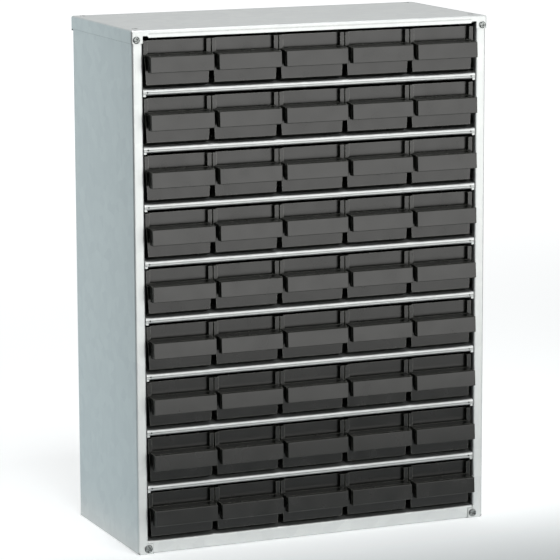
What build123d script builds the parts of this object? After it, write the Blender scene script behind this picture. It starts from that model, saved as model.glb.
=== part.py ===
from build123d import *
import math
import os

# Parts bin cabinet: a folded sheet-steel carcass with nine rows of five moulded
# drawers. X runs across the front, Y runs from the drawer handles to the back,
# Z is up. The origin is the middle of the underside. Everything is in mm.

# ---------------------------------------------------------------- the grid
rows = 9
columns = 5

# ---------------------------------------------------------------- the carcass
sheet = 0.8                 # thickness of every sheet-metal piece
bend = 1.6                  # outside radius of a bend
base_rise = 10.8            # top of the base pan above the ground
lip_height = 5.0            # height of a shelf's front lip
cover_drop = 6.2            # height of the cover's front flange over the opening
side_drop = 10.6            # height of the cover's side flanges and front ears
rear_drop = 12.0            # height of the cover's rear flange
carcass_depth = 140.2       # front of the posts to the back of the cover's rear flange
opening_margin = 1.0        # post to the outermost column, beyond the column's own pitch
post_width = 8.7            # face of a front post
post_return = 4.0           # depth of a post's folded edge
rear_flange = 14.0          # width of a side panel's rear flange
foot_width = 14.0           # width of a side panel's folded foot
ear_width = 12.9            # width of the tab at the foot of a post
ear_height = 8.6
return_clearance = 0.3      # between a post's folded edge and the pan or shelf at it
lip_set = 0.4               # a shelf's lip behind the face of the posts
hem_depth = 3.0             # the lip's inturned lower edge
lip_tab_width = 2.2         # the lip's deeper ends
lip_tab_drop = 0.9
groove_depth = 0.25         # rolled line along a lip and along the cover's flange
groove_width = 0.5
shelf_side_flange = 8.0
shelf_rear_flange = 6.0
pan_ground_gap = 0.5        # the pan's front strip above the ground
notch_width = 5.0           # relief in the cover's front flange beside each ear
notch_rise = 1.4
guide_width = 3.2           # pressed ribs that guide the drawers
guide_height = 2.4
guide_set = 30.0            # guide rib to the shelf's front and rear edges
back_edge = 1.2             # back panel's edge inside the side panels' faces
hole_inset = 7.2            # stacking holes in the cover, from the side panel's face
hole_front = 13.0           # and from the face of the posts
hole_rear = 134.0
hole_radius = 2.25

# ---------------------------------------------------------------- the fasteners
shank_radius = 1.6
shank_clearance = 0.05
rivet_head_radius = 3.3
rivet_head_height = 1.0
rivet_dome = 0.8            # rounding of the head's rim
rivet_bore_radius = 1.1     # the hollow that the drawn mandrel leaves
rivet_bore_depth = 0.7
rivet_tail_radius = 2.3
rivet_tail_length = 1.6
foot_rivet_inset = 8.9      # foot rivets from the side panel's face
foot_rivet_height = 4.4
back_rivet_rows = 4
back_rivet_margin = 30.0    # lowest and highest back rivets from the panel's edges
lug_head_radius = 2.8       # corner screws
lug_head_height = 1.1
lug_dome = 0.66             # rounding of the head's rim
lug_tip_length = 2.0
lug_inset = 3.4             # corner screws from the side panel's face
lug_drop = 7.6              # and below the top
lug_socket_radius = 1.2
lug_socket_depth = 0.6

# ---------------------------------------------------------------- a drawer
drawer_top_width = 55.9      # over the rim
drawer_height = 37.3        # rim above the shelf
drawer_gap = 1.1            # between the rims of two neighbours
drawer_headroom = 2.7       # rim to the lip of the shelf above
drawer_draft = 3.5          # lean of each side, degrees
face_draft = 0.6            # lean of the wider upper front, degrees
drawer_wall = 1.3
drawer_floor = 1.4
slide_gap = 0.3             # under the drawer
front_recess = 2.4          # drawer front behind the face of the posts
rear_gap = 1.8              # drawer to the side panels' rear flanges
toe_height = 3.0            # slanted toe at the foot of the front
toe_depth = 6.0
keel_radius = 1.6           # long lower edges
field_height = 10.4         # label field, from the ledge to the rim
field_set = 3.7             # label field behind the drawer's front
cheek_width = 3.3           # on each side of the label field
ledge_fall = 1.1            # the ledge drops this much to the handle's front
ledge_thickness = 1.5
pull_reach = 12.2           # handle's face in front of the drawer's front
pull_inset = 1.45           # handle's ends inside the rim's
pull_height = 12.5          # handle's face
pull_plate = 2.0            # handle's front plate
pull_slot = 1.7             # label slot behind the plate
pull_web = 1.5              # closes the slot below
pull_block = 3.2            # rib behind the slot
pull_lean = 0.7             # the plate's foot stands out this much
pull_edge_radius = 0.5
stop_width = 14.0
stop_clearance = 0.6        # stop tab under the shelf above
stop_gap = 0.3              # stop tab to the lip's hem with the drawer out
divider_slots = 2           # pairs of ribs along each side wall
divider_first = 46.0        # first slot from the drawer's front
divider_pitch = 42.0
divider_slot_width = 1.4
divider_rib_thick = 0.9
divider_rib_proud = 1.0
divider_rim_gap = 3.0

# ---------------------------------------------------------------- worked out
column_pitch = drawer_top_width + drawer_gap
row_pitch = drawer_height + drawer_headroom + lip_height
opening_width = columns * column_pitch + 2 * opening_margin
post_inner = opening_width / 2
side_face = post_inner + post_width
web_inner = side_face - sheet
height = base_rise + rows * row_pitch - lip_height + cover_drop
pull_proud = pull_reach - front_recess
front = pull_proud - (carcass_depth + pull_proud + lug_head_height) / 2
rear = front + carcass_depth
panel_rear = rear - sheet
flange_rear = panel_rear - sheet
inner_rear = flange_rear - sheet
drawer_front = front + front_recess
drawer_length = inner_rear - rear_gap - drawer_front
ledge_height = drawer_height - field_height
pull_top = ledge_height - ledge_fall
pull_bottom = pull_top - pull_height
pull_width = drawer_top_width - 2 * pull_inset
cover_under = height - sheet
panel_top = height - bend       # sides and back end where the cover's inner bend starts
corner_relief = bend - sheet    # pan and shelves clear the side panels' inner bends
far = 400.0                 # a cutter's reach past the object
slim = 0.01                 # overlap that joins two solids into one


def box_between(x0, x1, y0, y1, z0, z1):
    """A box given by its faces."""
    return Pos((x0 + x1) / 2, (y0 + y1) / 2, (z0 + z1) / 2) * Box(x1 - x0, y1 - y0, z1 - z0)


def folded(points, plane, start, length):
    """A strip of sheet folded along the points, its outside on them, drawn out along the plane's normal."""
    outline = FilletPolyline(*points, radius=bend)
    strip = make_face(offset(outline, amount=sheet, side=Side.RIGHT))
    return extrude(plane.offset(start) * strip, amount=length)


def prism(points, plane, start, length):
    """A polygon drawn out along the plane's normal."""
    return extrude(plane.offset(start) * make_face(Polyline(*points, close=True)), amount=length)


across = Plane(origin=(0, 0, 0), x_dir=(0, 1, 0), z_dir=(1, 0, 0))      # Y right, Z up
along = Plane(origin=(0, 0, 0), x_dir=(-1, 0, 0), z_dir=(0, 1, 0))      # -X right, Z up


def shelf_level(row):
    """Height of the surface that the drawers of a row stand on, row 0 the lowest."""
    return base_rise + row * row_pitch


def column_centre(column):
    """X of a column's middle, column 0 at the left."""
    return (column - (columns - 1) / 2) * column_pitch


def rivet_spots():
    """Every blind rivet as (x, y of the outer face, z, direction out of the sheet)."""
    spots = []
    for side in (-1, 1):
        spots.append((side * (side_face - foot_rivet_inset), front, foot_rivet_height, -1))
        step = (panel_top - 2 * back_rivet_margin) / (back_rivet_rows - 1)
        for level in range(back_rivet_rows):
            z = back_rivet_margin + level * step
            spots.append((side * (side_face - rear_flange / 2), panel_rear, z, 1))
    return spots


def screw_spots():
    """The four corner screws, two in front and two behind."""
    spots = []
    for side in (-1, 1):
        x = side * (side_face - lug_inset)
        spots.append((x, front - sheet, height - lug_drop, -1))
        spots.append((x, rear, height - lug_drop, 1))
    return spots


def fastener_holes(spots, stack):
    """Clearance holes for the shanks, through a stack of sheets."""
    radius = shank_radius + shank_clearance
    holes = []
    for x, y, z, out in spots:
        middle = Pos(x, y - out * stack / 2, z)
        holes.append(middle * Rot(90, 0, 0) * Cylinder(radius, stack + 2 * sheet))
    return holes


rivet_holes = fastener_holes(rivet_spots(), 2 * sheet)
screw_holes = fastener_holes(screw_spots(), 3 * sheet)


def side_panel(side):
    """C-shaped side with a front post, a folded post edge, a rear flange and a folded foot."""
    edge = [(-post_inner, front + post_return), (-post_inner, front)]
    body = [(-side_face, front), (-side_face, flange_rear), (-side_face + rear_flange, flange_rear)]
    ear_end = [(-side_face + ear_width, front)]
    post_end = [(-post_inner, front)]
    above_pan = base_rise + return_clearance
    panel = folded(ear_end + body, Plane.XY, bend, ear_height - bend)
    panel += folded(post_end + body, Plane.XY, ear_height, above_pan - ear_height)
    panel += folded(edge + body, Plane.XY, above_pan, panel_top - above_pan)
    # the foot turns in under the carcass; the ear's flat reaches the ground in front of it
    foot = [(side_face, bend), (side_face, 0), (side_face - foot_width, 0)]
    turned = FilletPolyline((foot[0][0], bend + slim), foot[1], foot[2], radius=bend)
    strip = make_face(offset(turned, amount=sheet, side=Side.RIGHT))
    panel += extrude(along.offset(front + sheet) * strip, amount=flange_rear - front - sheet)
    panel += box_between(-side_face + bend, -side_face + ear_width, front, front + sheet, 0, bend + slim)
    for cutter in rivet_holes + screw_holes:
        panel -= cutter
    return panel if side < 0 else mirror(panel, about=Plane.YZ)


def guides(level, y0, y1):
    """Pressed ribs between the columns, hollow below, as (material, hollow)."""
    half = guide_width / 2
    ribs = []
    hollows = []
    for column in range(columns - 1):
        x = (column_centre(column) + column_centre(column + 1)) / 2
        top = level + guide_height
        outside = [(x - half, level), (x - half / 2, top), (x + half / 2, top), (x + half, level)]
        below = level - sheet
        inside = [(x - half + sheet, below), (x - half / 2, top - sheet),
                  (x + half / 2, top - sheet), (x + half - sheet, below)]
        turned_out = [(-px, pz) for px, pz in outside]
        turned_in = [(-px, pz) for px, pz in inside]
        ribs.append(prism(turned_out, along, y0, y1 - y0))
        hollows.append(prism(turned_in, along, y0 + sheet, y1 - y0 - 2 * sheet))
    return ribs, hollows


def add_guides(piece, level, y0, y1):
    """The piece with its guide ribs pressed up and their hollows below."""
    ribs, hollows = guides(level, y0, y1)
    for rib in ribs:
        piece += rib
    for hollow in hollows:
        piece -= hollow
    return piece


def relieve_corners(piece, low, high):
    """The piece with its rear corners cut back from the side panels' inner bends."""
    for side in (-1, 1):
        x0, x1 = sorted((side * (web_inner - corner_relief), side * far))
        piece -= box_between(x0, x1, inner_rear - corner_relief, rear, low, high)
    return piece


def base_pan():
    """Bottom tray: front strip, floor of the lowest row, side and rear flanges."""
    strip_face = front + sheet
    path = [(inner_rear, sheet), (inner_rear, base_rise), (strip_face, base_rise),
            (strip_face, pan_ground_gap)]
    turned = FilletPolyline(*path, radius=bend)
    section = make_face(offset(turned, amount=sheet, side=Side.LEFT))
    pan = extrude(across.offset(-web_inner) * section, amount=2 * web_inner)
    for side in (-1, 1):
        x0, x1 = sorted((side * web_inner, side * (web_inner - sheet)))
        pan += box_between(x0, x1, strip_face + bend, inner_rear - bend,
                           bend, base_rise - sheet + slim)
    pan = relieve_corners(pan, 0.0, base_rise + sheet)
    pan = add_guides(pan, base_rise, front + guide_set, inner_rear - guide_set)
    for cutter in rivet_holes:
        pan -= cutter
    return pan


def shelf(level):
    """One shelf: rolled front lip with an inturned hem, side and rear flanges, guide ribs."""
    lip_face = front + lip_set
    low = level - lip_height
    path = [(inner_rear, level - shelf_rear_flange), (inner_rear, level), (lip_face, level),
            (lip_face, low), (lip_face + hem_depth, low)]
    turned = FilletPolyline(*path, radius=bend)
    section = make_face(offset(turned, amount=sheet, side=Side.LEFT))
    plate = extrude(across.offset(-web_inner) * section, amount=2 * web_inner)
    lip_end = post_inner - return_clearance
    wide_from = front + post_return + return_clearance
    for side in (-1, 1):
        x0, x1 = sorted((side * lip_end, side * far))
        plate -= box_between(x0, x1, front - far, wide_from, low - far, level + far)
        x0, x1 = sorted((side * web_inner, side * (web_inner - sheet)))
        plate += box_between(x0, x1, wide_from, inner_rear - bend,
                             level - shelf_side_flange, level - sheet + slim)
        x0, x1 = sorted((side * lip_end, side * (lip_end - lip_tab_width)))
        plate += box_between(x0, x1, lip_face + groove_depth, lip_face + sheet,
                             low - lip_tab_drop, level - bend)
    middle = (level + low) / 2
    plate -= box_between(-lip_end + lip_tab_width, lip_end - lip_tab_width, lip_face - sheet,
                         lip_face + groove_depth, middle - groove_width / 2, middle + groove_width / 2)
    plate = relieve_corners(plate, level - shelf_rear_flange - sheet, level + sheet)
    return add_guides(plate, level, front + guide_set, inner_rear - guide_set)


def top_cover():
    """Lid with flanges all round, deeper over the sides and at the front ears, and stacking holes."""
    outer = side_face + sheet
    nose = front - sheet
    cover = box_between(-outer, outer, nose, rear, height - rear_drop, height)
    cover = fillet(cover.edges().filter_by(Axis.Z), bend)
    cover = fillet(cover.faces().sort_by(Axis.Z)[-1].edges(), bend)
    hollow = box_between(-side_face, side_face, front, panel_rear, height - far, cover_under)
    hollow = fillet(hollow.edges().filter_by(Axis.Z), bend - sheet)
    hollow = fillet(hollow.faces().sort_by(Axis.Z)[-1].edges(), bend - sheet)
    cover -= hollow
    # the side flanges and the ears end higher than the rear flange
    cover -= box_between(-far, far, nose - far, panel_rear, height - far, height - side_drop)
    # the front flange is shallow over the opening, with a chamfered relief beside each ear
    mouth = [(-post_inner, height - far), (-post_inner, height - cover_drop + notch_rise),
             (-post_inner + notch_width - notch_rise, height - cover_drop + notch_rise),
             (-post_inner + notch_width, height - cover_drop),
             (post_inner - notch_width, height - cover_drop),
             (post_inner - notch_width + notch_rise, height - cover_drop + notch_rise),
             (post_inner, height - cover_drop + notch_rise), (post_inner, height - far)]
    cover -= prism([(-x, z) for x, z in mouth], along, nose - sheet, 2 * sheet + slim)
    line = height - cover_drop / 2
    cover -= box_between(-post_inner + notch_width, post_inner - notch_width,
                         nose - sheet, nose + groove_depth,
                         line - groove_width / 2, line + groove_width / 2)
    for x in (-side_face + hole_inset, side_face - hole_inset):
        for y in (front + hole_front, front + hole_rear):
            cover -= Pos(x, y, height) * Cylinder(hole_radius, 4 * sheet)
    for cutter in screw_holes:
        cover -= cutter
    return cover


def back_panel():
    """Flat sheet riveted to the side panels' rear flanges, tucked under the cover's rear flange."""
    half = side_face - back_edge
    panel = box_between(-half, half, flange_rear, panel_rear, pan_ground_gap, panel_top)
    for cutter in rivet_holes + screw_holes:
        panel -= cutter
    return panel


def rivet(x, y, z, out):
    """Blind rivet: domed head with a hollow, shank, and a bulb behind two sheets."""
    head = Pos(0, 0, rivet_head_height / 2) * Cylinder(rivet_head_radius, rivet_head_height)
    head = fillet(head.faces().sort_by(Axis.Z)[-1].edges(), rivet_dome)
    grip = 2 * sheet
    shank = Pos(0, 0, -grip / 2) * Cylinder(shank_radius, grip)
    tail = Pos(0, 0, -grip - rivet_tail_length / 2) * Cylinder(rivet_tail_radius, rivet_tail_length)
    whole = head + shank + tail
    bore = Cylinder(rivet_bore_radius, rivet_bore_depth)
    whole -= Pos(0, 0, rivet_head_height - rivet_bore_depth / 2) * bore
    return Pos(x, y, z) * Rot(-90 * out, 0, 0) * whole


def corner_screw(x, y, z, out):
    """Low round screw with a socket, through the cover and the sheets behind it."""
    head = Pos(0, 0, lug_head_height / 2) * Cylinder(lug_head_radius, lug_head_height)
    head = fillet(head.faces().sort_by(Axis.Z)[-1].edges(), lug_dome)
    length = 3 * sheet + lug_tip_length
    shank = Pos(0, 0, -length / 2) * Cylinder(shank_radius, length)
    whole = head + shank
    socket = Cylinder(lug_socket_radius, lug_socket_depth)
    whole -= Pos(0, 0, lug_head_height - lug_socket_depth / 2) * socket
    return Pos(x, y, z) * Rot(-90 * out, 0, 0) * whole


def half_width(z, inset=0.0):
    """Half the drawer's outside width at a height above the shelf, less an inset."""
    return drawer_top_width / 2 - (drawer_height - z) * math.tan(math.radians(drawer_draft)) - inset


def drafted(inset, z0, z1, y0, y1):
    """A block with the drawer's leaning sides, moved in by the inset."""
    corners = [(-half_width(z0, inset), z0), (half_width(z0, inset), z0),
               (half_width(z1, inset), z1), (-half_width(z1, inset), z1)]
    return prism([(-x, z) for x, z in corners], along, y0, y1 - y0)


def toe_wedge(back):
    """What the slanted toe leaves out of a block whose front lower corner lies back by this much."""
    low = slide_gap + back
    corners = [(-toe_depth, low - toe_height), (toe_depth + back, low - slim),
               (toe_depth + back, low), (back, toe_height + back), (back - toe_depth, toe_height + back)]
    return prism(corners, across, -far, 2 * far)


def drawer_shell():
    """The drawer's outside: leaning sides, rounded long edges, slanted toe, wider upper front."""
    block = drafted(0.0, slide_gap, drawer_height, 0.0, drawer_length)
    low = block.faces().sort_by(Axis.Z)[0]
    block = fillet(low.edges().filter_by(Axis.Y), keel_radius)
    block -= toe_wedge(0.0)
    top = drawer_top_width / 2
    foot = top - field_height * math.tan(math.radians(face_draft))
    sill = ledge_height - ledge_thickness
    corners = [(foot, sill), (-foot, sill), (-top, drawer_height), (top, drawer_height)]
    return block + prism(corners, along, 0.0, field_set + drawer_wall)


def drawer_hollow():
    """The space inside the drawer, stepped round the label field and slanted over the toe."""
    floor = slide_gap + drawer_floor
    over = drawer_height + sheet
    behind_field = field_set + drawer_wall
    hollow = drafted(drawer_wall, floor, over, behind_field, drawer_length - drawer_wall)
    under_ledge = ledge_height - ledge_thickness
    hollow += drafted(drawer_wall, floor, under_ledge, drawer_wall, behind_field + slim)
    return hollow - toe_wedge(drawer_floor)


def divider_ribs():
    """Pairs of upright ribs on both side walls that hold cross dividers."""
    top = drawer_height - divider_rim_gap
    step = (divider_slot_width + divider_rib_thick) / 2
    ribs = []
    for slot in range(divider_slots):
        centre = divider_first + slot * divider_pitch
        for y in (centre - step, centre + step):
            y0 = y - divider_rib_thick / 2
            y1 = y + divider_rib_thick / 2
            block = drafted(drawer_wall - slim, slide_gap + slim, top, y0, y1)
            inside = drafted(drawer_wall + divider_rib_proud, 0.0, drawer_height, y0 - slim, y1 + slim)
            ribs.append(block - inside)
    return ribs


def pull():
    """Full-width handle: sloping ledge, front plate, label slot open above, and the rib behind it."""
    face = -pull_reach
    back_of_plate = face + pull_plate
    back_of_slot = back_of_plate + pull_slot
    back_of_block = back_of_slot + pull_block
    run = pull_reach + field_set
    top_slot = ledge_height - ledge_fall * (field_set - back_of_slot) / run
    section = [(field_set, ledge_height), (field_set, ledge_height - ledge_thickness),
               (back_of_block, pull_top - ledge_thickness), (back_of_block, pull_bottom),
               (face, pull_bottom), (face + pull_lean, pull_top), (back_of_plate + pull_lean, pull_top),
               (back_of_plate, pull_bottom + pull_web), (back_of_slot, pull_bottom + pull_web),
               (back_of_slot, top_slot)]
    bar = prism(section, across, -pull_width / 2, pull_width)
    rim = bar.faces().filter_by(lambda f: f.normal_at().Y < -0.9).sort_by(Axis.Y)[0]
    return fillet(rim.edges(), pull_edge_radius)


def drawer():
    """One moulded drawer, its front at y = 0 and the shelf under it at z = 0."""
    body = drawer_shell()
    field_edge = drawer_top_width / 2 - cheek_width
    body -= box_between(-field_edge, field_edge, -slim, field_set, ledge_height, drawer_height + sheet)
    body -= drawer_hollow()
    for rib in divider_ribs():
        body += rib
    body += pull()
    stop_top = row_pitch - sheet - stop_clearance
    body += box_between(-stop_width / 2, stop_width / 2, drawer_length - drawer_wall, drawer_length,
                        drawer_height - drawer_wall, stop_top)
    return body


travel = drawer_length - drawer_wall - (lip_set + hem_depth - front_recess) - stop_gap


def write(piece, name):
    """One STEP file for a node."""
    export_step(piece, "parts/" + name + ".step")


os.makedirs("parts", exist_ok=True)
write(top_cover(), "top_cover")
write(base_pan(), "base_pan")
write(side_panel(-1), "left_side_panel")
write(side_panel(1), "right_side_panel")
write(back_panel(), "back_panel")
for level in range(1, rows):
    write(shelf(shelf_level(level)), "shelf_" + str(level))
write(Compound(children=[rivet(*spot) for spot in rivet_spots()]), "rivets")
write(Compound(children=[corner_screw(*spot) for spot in screw_spots()]), "corner_screws")
one_drawer = drawer()
for row in range(rows):
    for column in range(columns):
        place = Pos(column_centre(column), drawer_front, shelf_level(row))
        write(place * one_drawer, "drawer_row" + str(row + 1) + "_col" + str(column + 1))
print("height", round(height, 3), "width", round(2 * (side_face + sheet), 3))
print("front of the posts", round(front, 3), "rear", round(rear, 3))
print("drawer length", round(drawer_length, 3), "travel", round(travel, 3))
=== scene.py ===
import math

import bpy
from mathutils import Matrix, Vector


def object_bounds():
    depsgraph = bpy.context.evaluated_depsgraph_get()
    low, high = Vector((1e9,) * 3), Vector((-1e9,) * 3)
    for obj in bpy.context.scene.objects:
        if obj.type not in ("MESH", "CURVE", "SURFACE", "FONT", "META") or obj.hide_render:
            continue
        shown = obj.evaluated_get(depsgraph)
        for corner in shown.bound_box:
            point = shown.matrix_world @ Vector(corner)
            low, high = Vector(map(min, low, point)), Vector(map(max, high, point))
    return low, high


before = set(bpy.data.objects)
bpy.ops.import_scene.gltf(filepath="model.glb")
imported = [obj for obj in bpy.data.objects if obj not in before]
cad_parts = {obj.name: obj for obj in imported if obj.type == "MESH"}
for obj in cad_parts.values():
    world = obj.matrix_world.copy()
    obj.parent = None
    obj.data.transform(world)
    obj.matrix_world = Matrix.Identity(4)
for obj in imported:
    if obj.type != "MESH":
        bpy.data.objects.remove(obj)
cadLow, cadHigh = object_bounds()
mm = 0.001
drawerNames = [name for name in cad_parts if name.startswith("drawer_")]
fastenerNames = ["rivets", "corner_screws"]
sheetNames = [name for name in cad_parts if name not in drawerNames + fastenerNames]
print("frame loaded,", len(drawerNames), "drawers and", len(sheetNames), "sheet metal pieces")


def toLinear(hexColour):
    # an sRGB hex colour as the linear one that a shader takes
    parts = [int(hexColour[i:i + 2], 16) / 255 for i in (1, 3, 5)]
    return [c / 12.92 if c <= 0.04045 else ((c + 0.055) / 1.055) ** 2.4 for c in parts] + [1.0]


def addNode(tree, kind, settings={}, values={}, links={}):
    # one node: settings are its properties, values its sockets' own values, links what feeds its sockets
    node = tree.nodes.new(kind)
    for key, value in settings.items():
        setattr(node, key, value)
    for key, value in values.items():
        node.inputs[key].default_value = value
    for key, socket in links.items():
        tree.links.new(socket, node.inputs[key])
    return node


def arithmetic(tree, operation, *inputs, clamp=False):
    # one arithmetic step; each input is a socket or a number
    node = addNode(tree, "ShaderNodeMath", {"operation": operation, "use_clamp": clamp})
    for socket, value in zip(node.inputs, inputs):
        if isinstance(value, (int, float)):
            socket.default_value = value
        else:
            tree.links.new(value, socket)
    return node.outputs["Value"]


def dimmed(tree, mask, shade):
    # 1 where the mask is 0, and the given shade where it is 1
    return arithmetic(tree, "MULTIPLY_ADD", mask, shade - 1, 1.0)


def mixColours(tree, share, first, second):
    mix = addNode(tree, "ShaderNodeMix", {"data_type": "RGBA"}, links={"Factor": share})
    mix.inputs[6].default_value = toLinear(first)
    mix.inputs[7].default_value = toLinear(second)
    return mix.outputs[2]


def newTree(owner):
    owner.use_nodes = True
    owner.node_tree.nodes.clear()
    return owner.node_tree


def newMaterial(name):
    # an empty material, its node tree, and the place on the piece in metres
    material = bpy.data.materials.new(name)
    tree = newTree(material)
    return material, tree, addNode(tree, "ShaderNodeTexCoord").outputs["Object"]


def addToScene(name, data):
    thing = bpy.data.objects.new(name, data)
    bpy.context.scene.collection.objects.link(thing)
    return thing


# the camera stands above and to the left of the front, far off, with a long lens
camera = {
    "place": (-0.9711, -2.2894, 0.6436),   # metres; the angles in degrees, the lens and the sensor in mm
    "yaw": 22.957,
    "pitch": -10.111,
    "roll": -0.238,
    "lens": 198.02,
    "sensor": 36.0,
    "farthest": 50,
}


def placeCamera(settings):
    data = bpy.data.cameras.new("camera")
    data.lens = settings["lens"]
    data.sensor_width = settings["sensor"]
    data.clip_end = settings["farthest"]
    view = addToScene("camera", data)
    yaw, pitch, roll = (math.radians(settings[key]) for key in ("yaw", "pitch", "roll"))
    turn = Matrix.Rotation(-yaw, 4, "Z") @ Matrix.Rotation(math.pi / 2 + pitch, 4, "X")
    view.matrix_world = Matrix.Translation(settings["place"]) @ turn @ Matrix.Rotation(roll, 4, "Z")
    bpy.context.scene.camera = view


placeCamera(camera)
print("camera placed")

# edges are found with the bevel node: its samples, and how much a turn of the normal counts
edgeFinder = {
    "samples": 4,
    "gain": 4.0,
}


def edgeMask(tree, radius):
    # 1 along the edges and bends, 0 on the flats, from how far the rounded normal turns from the true one
    rounded = addNode(tree, "ShaderNodeBevel", {"samples": edgeFinder["samples"]}, {"Radius": radius})
    true = addNode(tree, "ShaderNodeNewGeometry")
    turn = addNode(tree, "ShaderNodeVectorMath", {"operation": "DOT_PRODUCT"}, links={
        0: rounded.outputs["Normal"], 1: true.outputs["Normal"]})
    away = arithmetic(tree, "SUBTRACT", 1.0, turn.outputs["Value"])
    return arithmetic(tree, "MULTIPLY", away, edgeFinder["gain"], clamp=True)


# galvanised steel sheet, cold rolled and passivated: a dull pale mirror, its zinc crystals barely told
# apart, with faint upright rolling streaks, and painted shade that darkens its bends and cut edges
zincSheet = {
    "colour": "#cccfce",
    "crystalColour": "#c5c8c8",
    "crystal": 9 * mm,
    "roughness": 0.53,
    "roughSpread": 0.05,
    "streak": 1.1 * mm,
    "streakLength": 90 * mm,
    "streakDetail": 2.0,
    # how far from a bend or cut edge the painted shade reaches, and how dark it paints it
    "edge": 0.8 * mm,
    "paintedEdgeShade": 0.35,
}


def galvanisedSheet(name, settings, lip=None):
    material, tree, place = newMaterial(name)
    crystals = addNode(tree, "ShaderNodeTexVoronoi", values={"Scale": 1 / settings["crystal"]},
                       links={"Vector": place})
    tone = mixColours(tree, crystals.outputs["Color"], settings["colour"], settings["crystalColour"])
    # painted shade: the lips get their painted line, darker lower half and dimples, the rest of the sheet
    # darkened bends and cut edges
    if lip:
        shade = paintedLipShade(tree, place, lip)
    else:
        shade = dimmed(tree, edgeMask(tree, settings["edge"]), settings["paintedEdgeShade"])
    shaded = addNode(tree, "ShaderNodeVectorMath", {"operation": "SCALE"},
                     links={"Vector": tone, "Scale": shade})
    across, along = 1 / settings["streak"], 1 / settings["streakLength"]
    stretched = addNode(tree, "ShaderNodeMapping", values={"Scale": (across, across, along)},
                        links={"Vector": place})
    streaks = addNode(tree, "ShaderNodeTexNoise", values={"Scale": 1.0, "Detail": settings["streakDetail"]},
                      links={"Vector": stretched.outputs["Vector"]})
    rough = addNode(tree, "ShaderNodeMapRange", values={
        "To Min": settings["roughness"] - settings["roughSpread"],
        "To Max": settings["roughness"] + settings["roughSpread"]}, links={"Value": streaks.outputs["Fac"]})
    shader = addNode(tree, "ShaderNodeBsdfPrincipled", values={"Metallic": 1.0},
                     links={"Base Color": shaded.outputs["Vector"], "Roughness": rough.outputs["Result"]})
    addNode(tree, "ShaderNodeOutputMaterial", links={"Surface": shader.outputs["BSDF"]})
    return material


# the shelves' rolled front lips, of the same sheet, with painted shade: a painted dark line along the
# middle, a lower half painted a little darker than the upper one, and painted shade in a small dimple near
# each end
rolledLip = {
    "pitch": 45 * mm,
    "shelfTop": 10.8 * mm,      # of the first shelf, the others a pitch apart
    "lineBelow": 2.7 * mm,      # the line's middle below the shelf's top
    "lineHalf": 0.35 * mm,      # half its width
    "paintedLineShade": 0.50,
    "paintedLowerShade": 0.90,
    "dimpleAt": 139.6 * mm,     # from the cabinet's middle
    "dimpleRadius": 0.7 * mm,
    "paintedDimpleShade": 0.12,
}


# painted shade on the lips, as one factor on the colour: the middle line, the darker lower half and the
# dimples
def paintedLipShade(tree, place, settings):
    # the height below the nearest shelf's top is pitch * (1 - fract((z - shelfTop) / pitch))
    axes = addNode(tree, "ShaderNodeSeparateXYZ", links={"Vector": place})
    raised = arithmetic(tree, "SUBTRACT", axes.outputs["Z"], settings["shelfTop"])
    share = arithmetic(tree, "FRACT", arithmetic(tree, "DIVIDE", raised, settings["pitch"]))
    below = arithmetic(tree, "MULTIPLY", arithmetic(tree, "SUBTRACT", 1.0, share), settings["pitch"])
    fromLine = arithmetic(tree, "SUBTRACT", below, settings["lineBelow"])
    line = arithmetic(tree, "LESS_THAN", arithmetic(tree, "ABSOLUTE", fromLine), settings["lineHalf"])
    lower = arithmetic(tree, "GREATER_THAN", fromLine, 0.0)
    fromMiddle = arithmetic(tree, "ABSOLUTE", axes.outputs["X"])
    fromEnd = arithmetic(tree, "SUBTRACT", fromMiddle, settings["dimpleAt"])
    squares = arithmetic(tree, "ADD", arithmetic(tree, "POWER", fromEnd, 2.0),
                         arithmetic(tree, "POWER", fromLine, 2.0))
    dimple = arithmetic(tree, "LESS_THAN", squares, settings["dimpleRadius"] ** 2)
    shade = dimmed(tree, lower, settings["paintedLowerShade"])
    shade = arithmetic(tree, "MULTIPLY", shade, dimmed(tree, line, settings["paintedLineShade"]))
    return arithmetic(tree, "MULTIPLY", shade, dimmed(tree, dimple, settings["paintedDimpleShade"]))


# zinc-plated steel rivets and screws: dull and dark, mottled where the tool marked them
platedSteel = {
    "colour": "#8b8f8e",
    "markColour": "#3c3f3e",
    "roughness": 0.38,
    "mark": 1.3 * mm,
    "markDetail": 3.0,
    "markFrom": (0.40, 0.56),     # the noise's values where the dark goes over into the pale
    "markDepth": 0.15 * mm,
    "markStrength": 0.6,
}


def platedFastener(settings):
    material, tree, place = newMaterial("zincPlatedFastener")
    marks = addNode(tree, "ShaderNodeTexNoise", values={
        "Scale": 1 / settings["mark"], "Detail": settings["markDetail"]}, links={"Vector": place})
    tone = addNode(tree, "ShaderNodeValToRGB", links={"Fac": marks.outputs["Fac"]})
    dark, pale = tone.color_ramp.elements
    dark.position, pale.position = settings["markFrom"]
    dark.color, pale.color = toLinear(settings["markColour"]), toLinear(settings["colour"])
    bump = addNode(tree, "ShaderNodeBump", values={
        "Strength": settings["markStrength"], "Distance": settings["markDepth"]},
        links={"Height": marks.outputs["Fac"]})
    shader = addNode(tree, "ShaderNodeBsdfPrincipled", values={
        "Metallic": 1.0, "Roughness": settings["roughness"]},
        links={"Base Color": tone.outputs["Color"], "Normal": bump.outputs["Normal"]})
    addNode(tree, "ShaderNodeOutputMaterial", links={"Surface": shader.outputs["BSDF"]})
    return material


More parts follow.
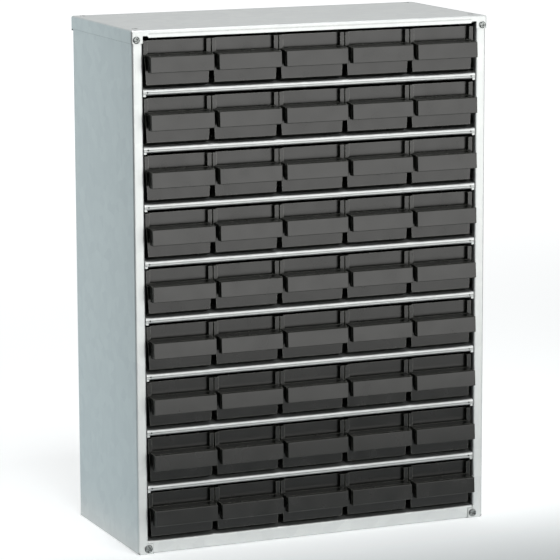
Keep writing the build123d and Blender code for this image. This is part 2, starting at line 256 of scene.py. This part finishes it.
# conductive polypropylene, moulded in a finely etched tool: almost black with a soft satin sheen,
# a painted highlight that makes the edges a hair lighter, and painted shade in the creases that no light
# gets into
blackPlastic = {
    "colour": "#10110f",
    "paintedHighlightColour": "#80827b",
    "ior": 1.49,
    "specular": 0.47,
    "roughness": 0.25,
    "roughSpread": 0.03,
    "mottle": 16 * mm,
    "mottleDetail": 1.0,
    "mottleFrom": (0.3, 0.7),     # the noise's values that give the least and the most roughness
    "grain": 0.45 * mm,
    "grainDetail": 2.0,
    "grainDepth": 0.012 * mm,
    "grainStrength": 0.5,
    "edge": 0.55 * mm,
    "crease": 2.6 * mm,
    "creaseFrom": (0.5, 0.78),    # how open a place is where it is quite black, and where it is quite clear
    "creaseSamples": 8,
}


def mouldedPlastic(settings):
    material, tree, place = newMaterial("mouldedPolypropylene")
    grain = addNode(tree, "ShaderNodeTexNoise", values={
        "Scale": 1 / settings["grain"], "Detail": settings["grainDetail"]}, links={"Vector": place})
    bump = addNode(tree, "ShaderNodeBump", values={
        "Strength": settings["grainStrength"], "Distance": settings["grainDepth"]},
        links={"Height": grain.outputs["Fac"]})
    mottle = addNode(tree, "ShaderNodeTexNoise", values={
        "Scale": 1 / settings["mottle"], "Detail": settings["mottleDetail"]}, links={"Vector": place})
    least, most = settings["mottleFrom"]
    rough = addNode(tree, "ShaderNodeMapRange", values={
        "From Min": least, "From Max": most, "To Min": settings["roughness"] - settings["roughSpread"],
        "To Max": settings["roughness"] + settings["roughSpread"]}, links={"Value": mottle.outputs["Fac"]})
    # painted shade: where nearby parts close a place in, the sheen and the painted edge highlight are taken
    # down
    hollow = addNode(tree, "ShaderNodeAmbientOcclusion",
                     {"samples": settings["creaseSamples"], "only_local": True},
                     {"Distance": settings["crease"]})
    shut, clear = settings["creaseFrom"]
    openness = addNode(tree, "ShaderNodeMapRange", values={"From Min": shut, "From Max": clear},
                       links={"Value": hollow.outputs["AO"]}).outputs["Result"]
    # painted highlight: the base colour lightened along the edges, less where the creases close in
    paintedEdgeHighlight = arithmetic(tree, "MULTIPLY", edgeMask(tree, settings["edge"]), openness)
    tone = mixColours(tree, paintedEdgeHighlight, settings["colour"], settings["paintedHighlightColour"])
    shader = addNode(tree, "ShaderNodeBsdfPrincipled", values={"IOR": settings["ior"]}, links={
        "Base Color": tone, "Roughness": rough.outputs["Result"],
        "Specular IOR Level": arithmetic(tree, "MULTIPLY", openness, settings["specular"]),
        "Normal": bump.outputs["Normal"]})
    addNode(tree, "ShaderNodeOutputMaterial", links={"Surface": shader.outputs["BSDF"]})
    return material


def giveMaterial(names, material):
    for name in names:
        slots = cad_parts[name].data.materials
        slots.clear()
        slots.append(material)


shelfNames = [name for name in sheetNames if name.startswith("shelf_")]
casingNames = [name for name in sheetNames if name not in shelfNames]
giveMaterial(casingNames, galvanisedSheet("galvanisedSheet", zincSheet))
giveMaterial(shelfNames, galvanisedSheet("galvanisedRolledLip", zincSheet, rolledLip))
giveMaterial(fastenerNames, platedFastener(platedSteel))
giveMaterial(drawerNames, mouldedPlastic(blackPlastic))
print("materials given")


def whitened(tree, plain, white):
    # the camera, and what mirrors the surround, see the white one; every other ray sees the plain one
    path = addNode(tree, "ShaderNodeLightPath")
    seen = arithmetic(tree, "MAXIMUM", path.outputs["Is Camera Ray"], path.outputs["Is Glossy Ray"])
    seen = arithmetic(tree, "MAXIMUM", seen, path.outputs["Is Transmission Ray"])
    return addNode(tree, "ShaderNodeMixShader", links={0: seen, 1: plain, 2: white})


def eased(tree, value, fromRange, toRange):
    (near, far), (first, last) = fromRange, toRange
    return addNode(tree, "ShaderNodeMapRange", {"interpolation_type": "SMOOTHSTEP"},
                   {"From Min": near, "From Max": far, "To Min": first, "To Max": last},
                   {"Value": value}).outputs["Result"]


# a pale painted table, with a painted glow for the camera and for reflections that makes it whiter behind
# the cabinet, where the camera sees no end of it
paleTable = {
    "corners": ((-3.5, -1.5), (3.5, 9.0)),
    "colour": "#dde2e3",
    "white": (0.0, 0.63),        # added to the lit table in front of the cabinet, and behind it
    "whiteFrom": (-0.25, 0.05),  # where along Y the one goes over into the other
    "farWhite": 0.25,            # and more of it far behind
    "farFrom": (0.4, 2.0),
}


def layTable(settings):
    (left, front), (right, back) = settings["corners"]
    mesh = bpy.data.meshes.new("table")
    mesh.from_pydata([(left, front, 0), (right, front, 0), (right, back, 0), (left, back, 0)], [],
                     [(0, 1, 2, 3)])
    material, tree, place = newMaterial("paleTable")
    plain = addNode(tree, "ShaderNodeBsdfDiffuse", values={"Color": toLinear(settings["colour"])})
    along = addNode(tree, "ShaderNodeSeparateXYZ", links={"Vector": place}).outputs["Y"]
    # painted glow: none in front of the cabinet, growing behind it and more far off
    graded = eased(tree, along, settings["whiteFrom"], settings["white"])
    beyond = eased(tree, along, settings["farFrom"], (0.0, settings["farWhite"]))
    glow = addNode(tree, "ShaderNodeEmission", links={"Strength": arithmetic(tree, "ADD", graded, beyond)})
    white = addNode(tree, "ShaderNodeAddShader", links={0: plain.outputs[0], 1: glow.outputs[0]})
    both = whitened(tree, plain.outputs[0], white.outputs[0])
    addNode(tree, "ShaderNodeOutputMaterial", links={"Surface": both.outputs[0]})
    mesh.materials.append(material)
    addToScene("table", mesh)


# a black card to the left, which the bends mirror, and two blue-grey ones, one standing beside the
# cabinet and one lying there, which its side mirrors
cards = {
    "blackCard": {
        "place": (-0.75, -0.10, 0.42),
        "size": (1.1, 0.9),
        "lean": 0,
        "turn": 90,
        "colour": "#000000",
    },
    "blueCard": {
        "place": (-0.36, 0.65, 0.40),
        "size": (1.2, 0.84),
        "lean": 0,
        "turn": 90,
        "colour": "#dfecf0",
    },
    "bluePaper": {
        "place": (-0.50, 0.30, 0.0015),
        "size": (0.65, 1.0),
        "lean": 90,
        "turn": 0,
        "colour": "#dbe9ee",
    },
}


def standCard(name, settings):
    # a flat card of an even colour, seen only in mirrored light
    halfWidth, halfHeight = (side / 2 for side in settings["size"])
    mesh = bpy.data.meshes.new(name)
    mesh.from_pydata([(-halfWidth, 0, -halfHeight), (halfWidth, 0, -halfHeight),
                      (halfWidth, 0, halfHeight), (-halfWidth, 0, halfHeight)], [], [(0, 1, 2, 3)])
    material = bpy.data.materials.new(name)
    tree = newTree(material)
    glow = addNode(tree, "ShaderNodeEmission", values={"Color": toLinear(settings["colour"])})
    addNode(tree, "ShaderNodeOutputMaterial", links={"Surface": glow.outputs[0]})
    mesh.materials.append(material)
    card = addToScene(name, mesh)
    card.location = settings["place"]
    card.rotation_euler = (math.radians(settings["lean"]), 0, math.radians(settings["turn"]))
    card.visible_camera = card.visible_diffuse = card.visible_shadow = False


surroundStrength = 0.40


def lightSurround(strength):
    world = bpy.data.worlds.new("surround")
    bpy.context.scene.world = world
    tree = newTree(world)
    plain = addNode(tree, "ShaderNodeBackground", values={"Strength": strength})
    white = addNode(tree, "ShaderNodeBackground", values={"Strength": 1.0})
    both = whitened(tree, plain.outputs[0], white.outputs[0])
    addNode(tree, "ShaderNodeOutputWorld", links={"Surface": both.outputs[0]})


# a soft box that stands low in front, on the right, where the drawers and the posts mirror it:
# the lower rows mirror the table below it instead, and so they are darker
frontPanel = {
    "azimuth": 20.5,
    "away": 0.75,     # from the front of the handles
    "foot": 0.005,    # its lower edge above the table
    "size": (1.2, 0.66),
    "power": 1.32,
    "spread": 80,
    "colour": "#fffefb",
}
# and a weak one above the front, for the top and the table
overhead = {
    "place": (-0.05, -0.7, 1.5),
    "target": (0, 0, 0.2),
    "size": (0.7, 0.5),
    "power": 1.5,
    "spread": 60,
    "colour": "#ffffff",
}


def addLamp(name, place, target, settings):
    data = bpy.data.lights.new(name, "AREA")
    data.color = toLinear(settings["colour"])[:3]
    data.spread = math.radians(settings["spread"])
    data.shape = "RECTANGLE"
    data.size, data.size_y = settings["size"]
    data.energy = settings["power"]
    lamp = addToScene(name, data)
    lamp.location = place
    lamp.rotation_euler = (Vector(target) - Vector(place)).to_track_quat("-Z", "Y").to_euler()
    lamp.visible_camera = False


def addFrontPanel(settings):
    angle = math.radians(settings["azimuth"])
    height = settings["foot"] + settings["size"][1] / 2
    place = (math.sin(angle) * settings["away"], cadLow.y - math.cos(angle) * settings["away"], height)
    addLamp("frontPanel", place, (0, cadLow.y, height), settings)


layTable(paleTable)
for cardName, cardSettings in cards.items():
    standCard(cardName, cardSettings)
lightSurround(surroundStrength)
addFrontPanel(frontPanel)
addLamp("overhead", overhead["place"], overhead["target"], overhead)
bpy.context.scene.view_settings.view_transform = "Standard"
print("studio lit")
